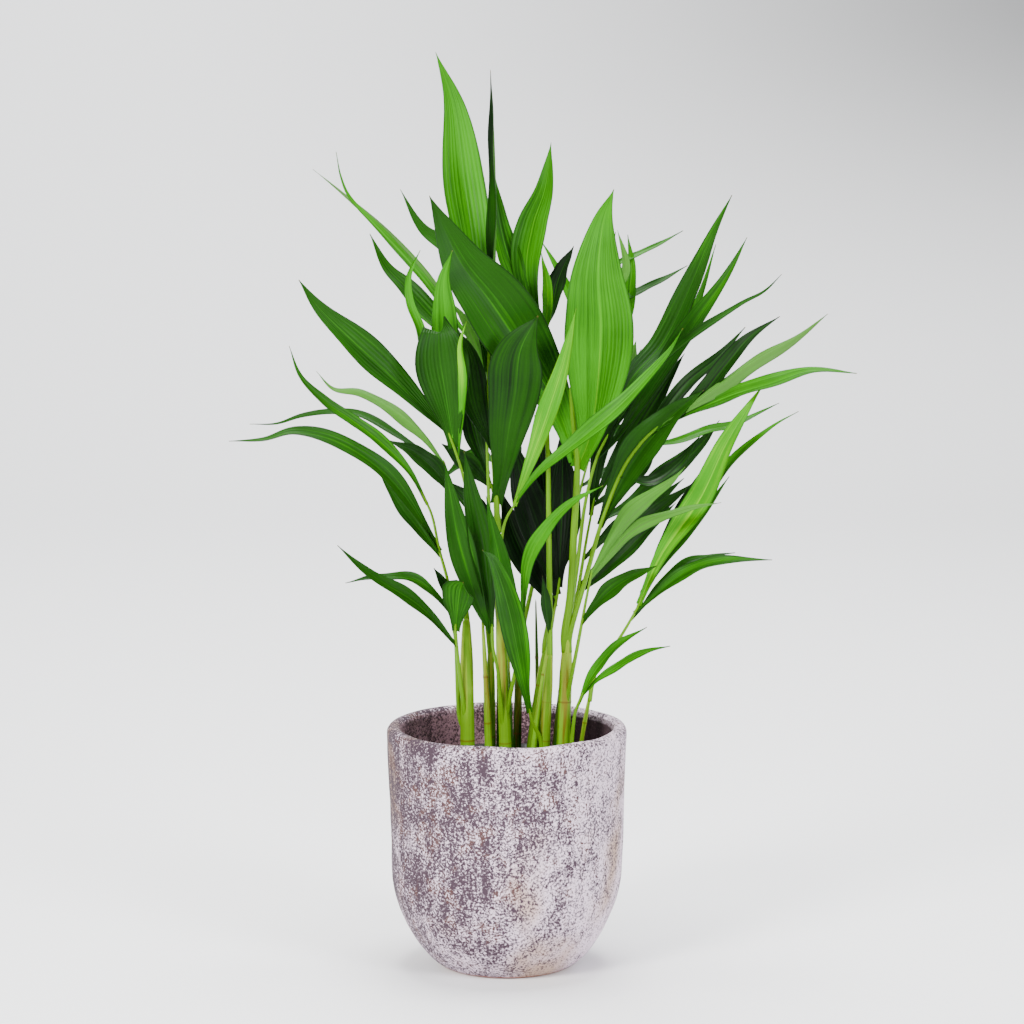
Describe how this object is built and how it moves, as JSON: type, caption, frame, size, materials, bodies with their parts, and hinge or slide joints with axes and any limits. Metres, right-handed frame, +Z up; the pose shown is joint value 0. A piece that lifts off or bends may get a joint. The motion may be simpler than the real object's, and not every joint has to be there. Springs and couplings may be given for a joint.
{
  "type": "potted palm",
  "caption": "Young clumping areca palm with slender green canes and arching pleated fronds, in a round-footed weathered clay cover pot.",
  "frame": {"origin": "centre of the pot's flat underside", "axes": "+Z up along the pot's axis towards the leaf tips, -Y towards the palm's broad front side, +X to the viewer's right when looking at that side"},
  "size_m": [0.476, 0.316, 0.7223],
  "materials": {
    "pot_clay": "rough weathered clay, lime-washed",
    "grower_pot_plastic": "thin black moulded plastic",
    "soil_peat": "moist peat potting soil",
    "cane_left_bark": "living green cane with brown sheath streaks",
    "cane_left_inner_bark": "living green cane with brown sheath streaks",
    "cane_centre_bark": "living green cane with brown sheath streaks",
    "cane_slim_bark": "living green cane with brown sheath streaks",
    "cane_right_inner_bark": "living green cane with brown sheath streaks",
    "cane_right_bark": "living green cane with brown sheath streaks",
    "cane_young_bark": "living green cane with brown sheath streaks",
    "cane_rear_bark": "living green cane with brown sheath streaks",
    "cane_seedling_bark": "living green cane with brown sheath streaks",
    "cane_rear_right_bark": "living green cane with brown sheath streaks",
    "cane_dark_bark": "living green cane with brown sheath streaks",
    "spear_left_bark": "living green cane with brown sheath streaks",
    "spear_right_bark": "living green cane with brown sheath streaks",
    "spear_back_right_bark": "living green cane with brown sheath streaks",
    "spear_back_left_bark": "living green cane with brown sheath streaks",
    "frond_tall_left_leaf": "satin mid-green leaf",
    "frond_tall_right_leaf": "satin mid-green leaf",
    "frond_broad_centre_leaf": "satin bright-green leaf",
    "frond_left_front_leaf": "satin deep-green leaf",
    "frond_left_back_leaf": "satin mid-green leaf",
    "frond_left_low_leaf": "satin mid-green leaf",
    "frond_left_mid_leaf": "satin mid-green leaf",
    "frond_left_basal_leaf": "satin mid-green leaf",
    "frond_front_left_leaf": "satin mid-green leaf",
    "frond_front_spear_leaf": "satin mid-green leaf",
    "frond_front_ribbon_leaf": "satin bright-green leaf",
    "frond_front_forked_leaf": "matte pale-green leaf",
    "frond_shaded_heart_leaf": "satin deep-green leaf",
    "frond_right_high_leaf": "satin mid-green leaf",
    "frond_right_fan_leaf": "satin mid-green leaf",
    "frond_right_young_leaf": "satin bright-green leaf",
    "frond_right_pale_leaf": "matte pale-green leaf",
    "frond_shaded_right_leaf": "satin deep-green leaf",
    "frond_shaded_left_leaf": "satin deep-green leaf",
    "frond_seedling_leaf": "satin bright-green leaf",
    "frond_back_right_leaf": "satin mid-green leaf",
    "frond_back_left_leaf": "satin deep-green leaf",
    "frond_back_low_leaf": "satin deep-green leaf"
  },
  "bodies": {
    "root": {"pot": "pot_clay", "grower_pot": "grower_pot_plastic", "potting_soil": "soil_peat", "cane_left": "cane_left_bark", "cane_left_inner": "cane_left_inner_bark", "cane_centre": "cane_centre_bark", "cane_slim": "cane_slim_bark", "cane_right_inner": "cane_right_inner_bark", "cane_right": "cane_right_bark", "cane_young": "cane_young_bark", "cane_rear": "cane_rear_bark", "cane_seedling": "cane_seedling_bark", "cane_rear_right": "cane_rear_right_bark", "cane_dark": "cane_dark_bark", "spear_left": "spear_left_bark", "spear_right": "spear_right_bark", "spear_back_right": "spear_back_right_bark", "spear_back_left": "spear_back_left_bark", "frond_tall_left": "frond_tall_left_leaf", "frond_tall_right": "frond_tall_right_leaf", "frond_broad_centre": "frond_broad_centre_leaf", "frond_left_front": "frond_left_front_leaf", "frond_left_back": "frond_left_back_leaf", "frond_left_low": "frond_left_low_leaf", "frond_left_mid": "frond_left_mid_leaf", "frond_left_basal": "frond_left_basal_leaf", "frond_front_left": "frond_front_left_leaf", "frond_front_spear": "frond_front_spear_leaf", "frond_front_ribbon": "frond_front_ribbon_leaf", "frond_front_forked": "frond_front_forked_leaf", "frond_shaded_heart": "frond_shaded_heart_leaf", "frond_right_high": "frond_right_high_leaf", "frond_right_fan": "frond_right_fan_leaf", "frond_right_young": "frond_right_young_leaf", "frond_right_pale": "frond_right_pale_leaf", "frond_shaded_right": "frond_shaded_right_leaf", "frond_shaded_left": "frond_shaded_left_leaf", "frond_seedling": "frond_seedling_leaf", "frond_back_right": "frond_back_right_leaf", "frond_back_left": "frond_back_left_leaf", "frond_back_low": "frond_back_low_leaf"}
  },
  "joints": []
}
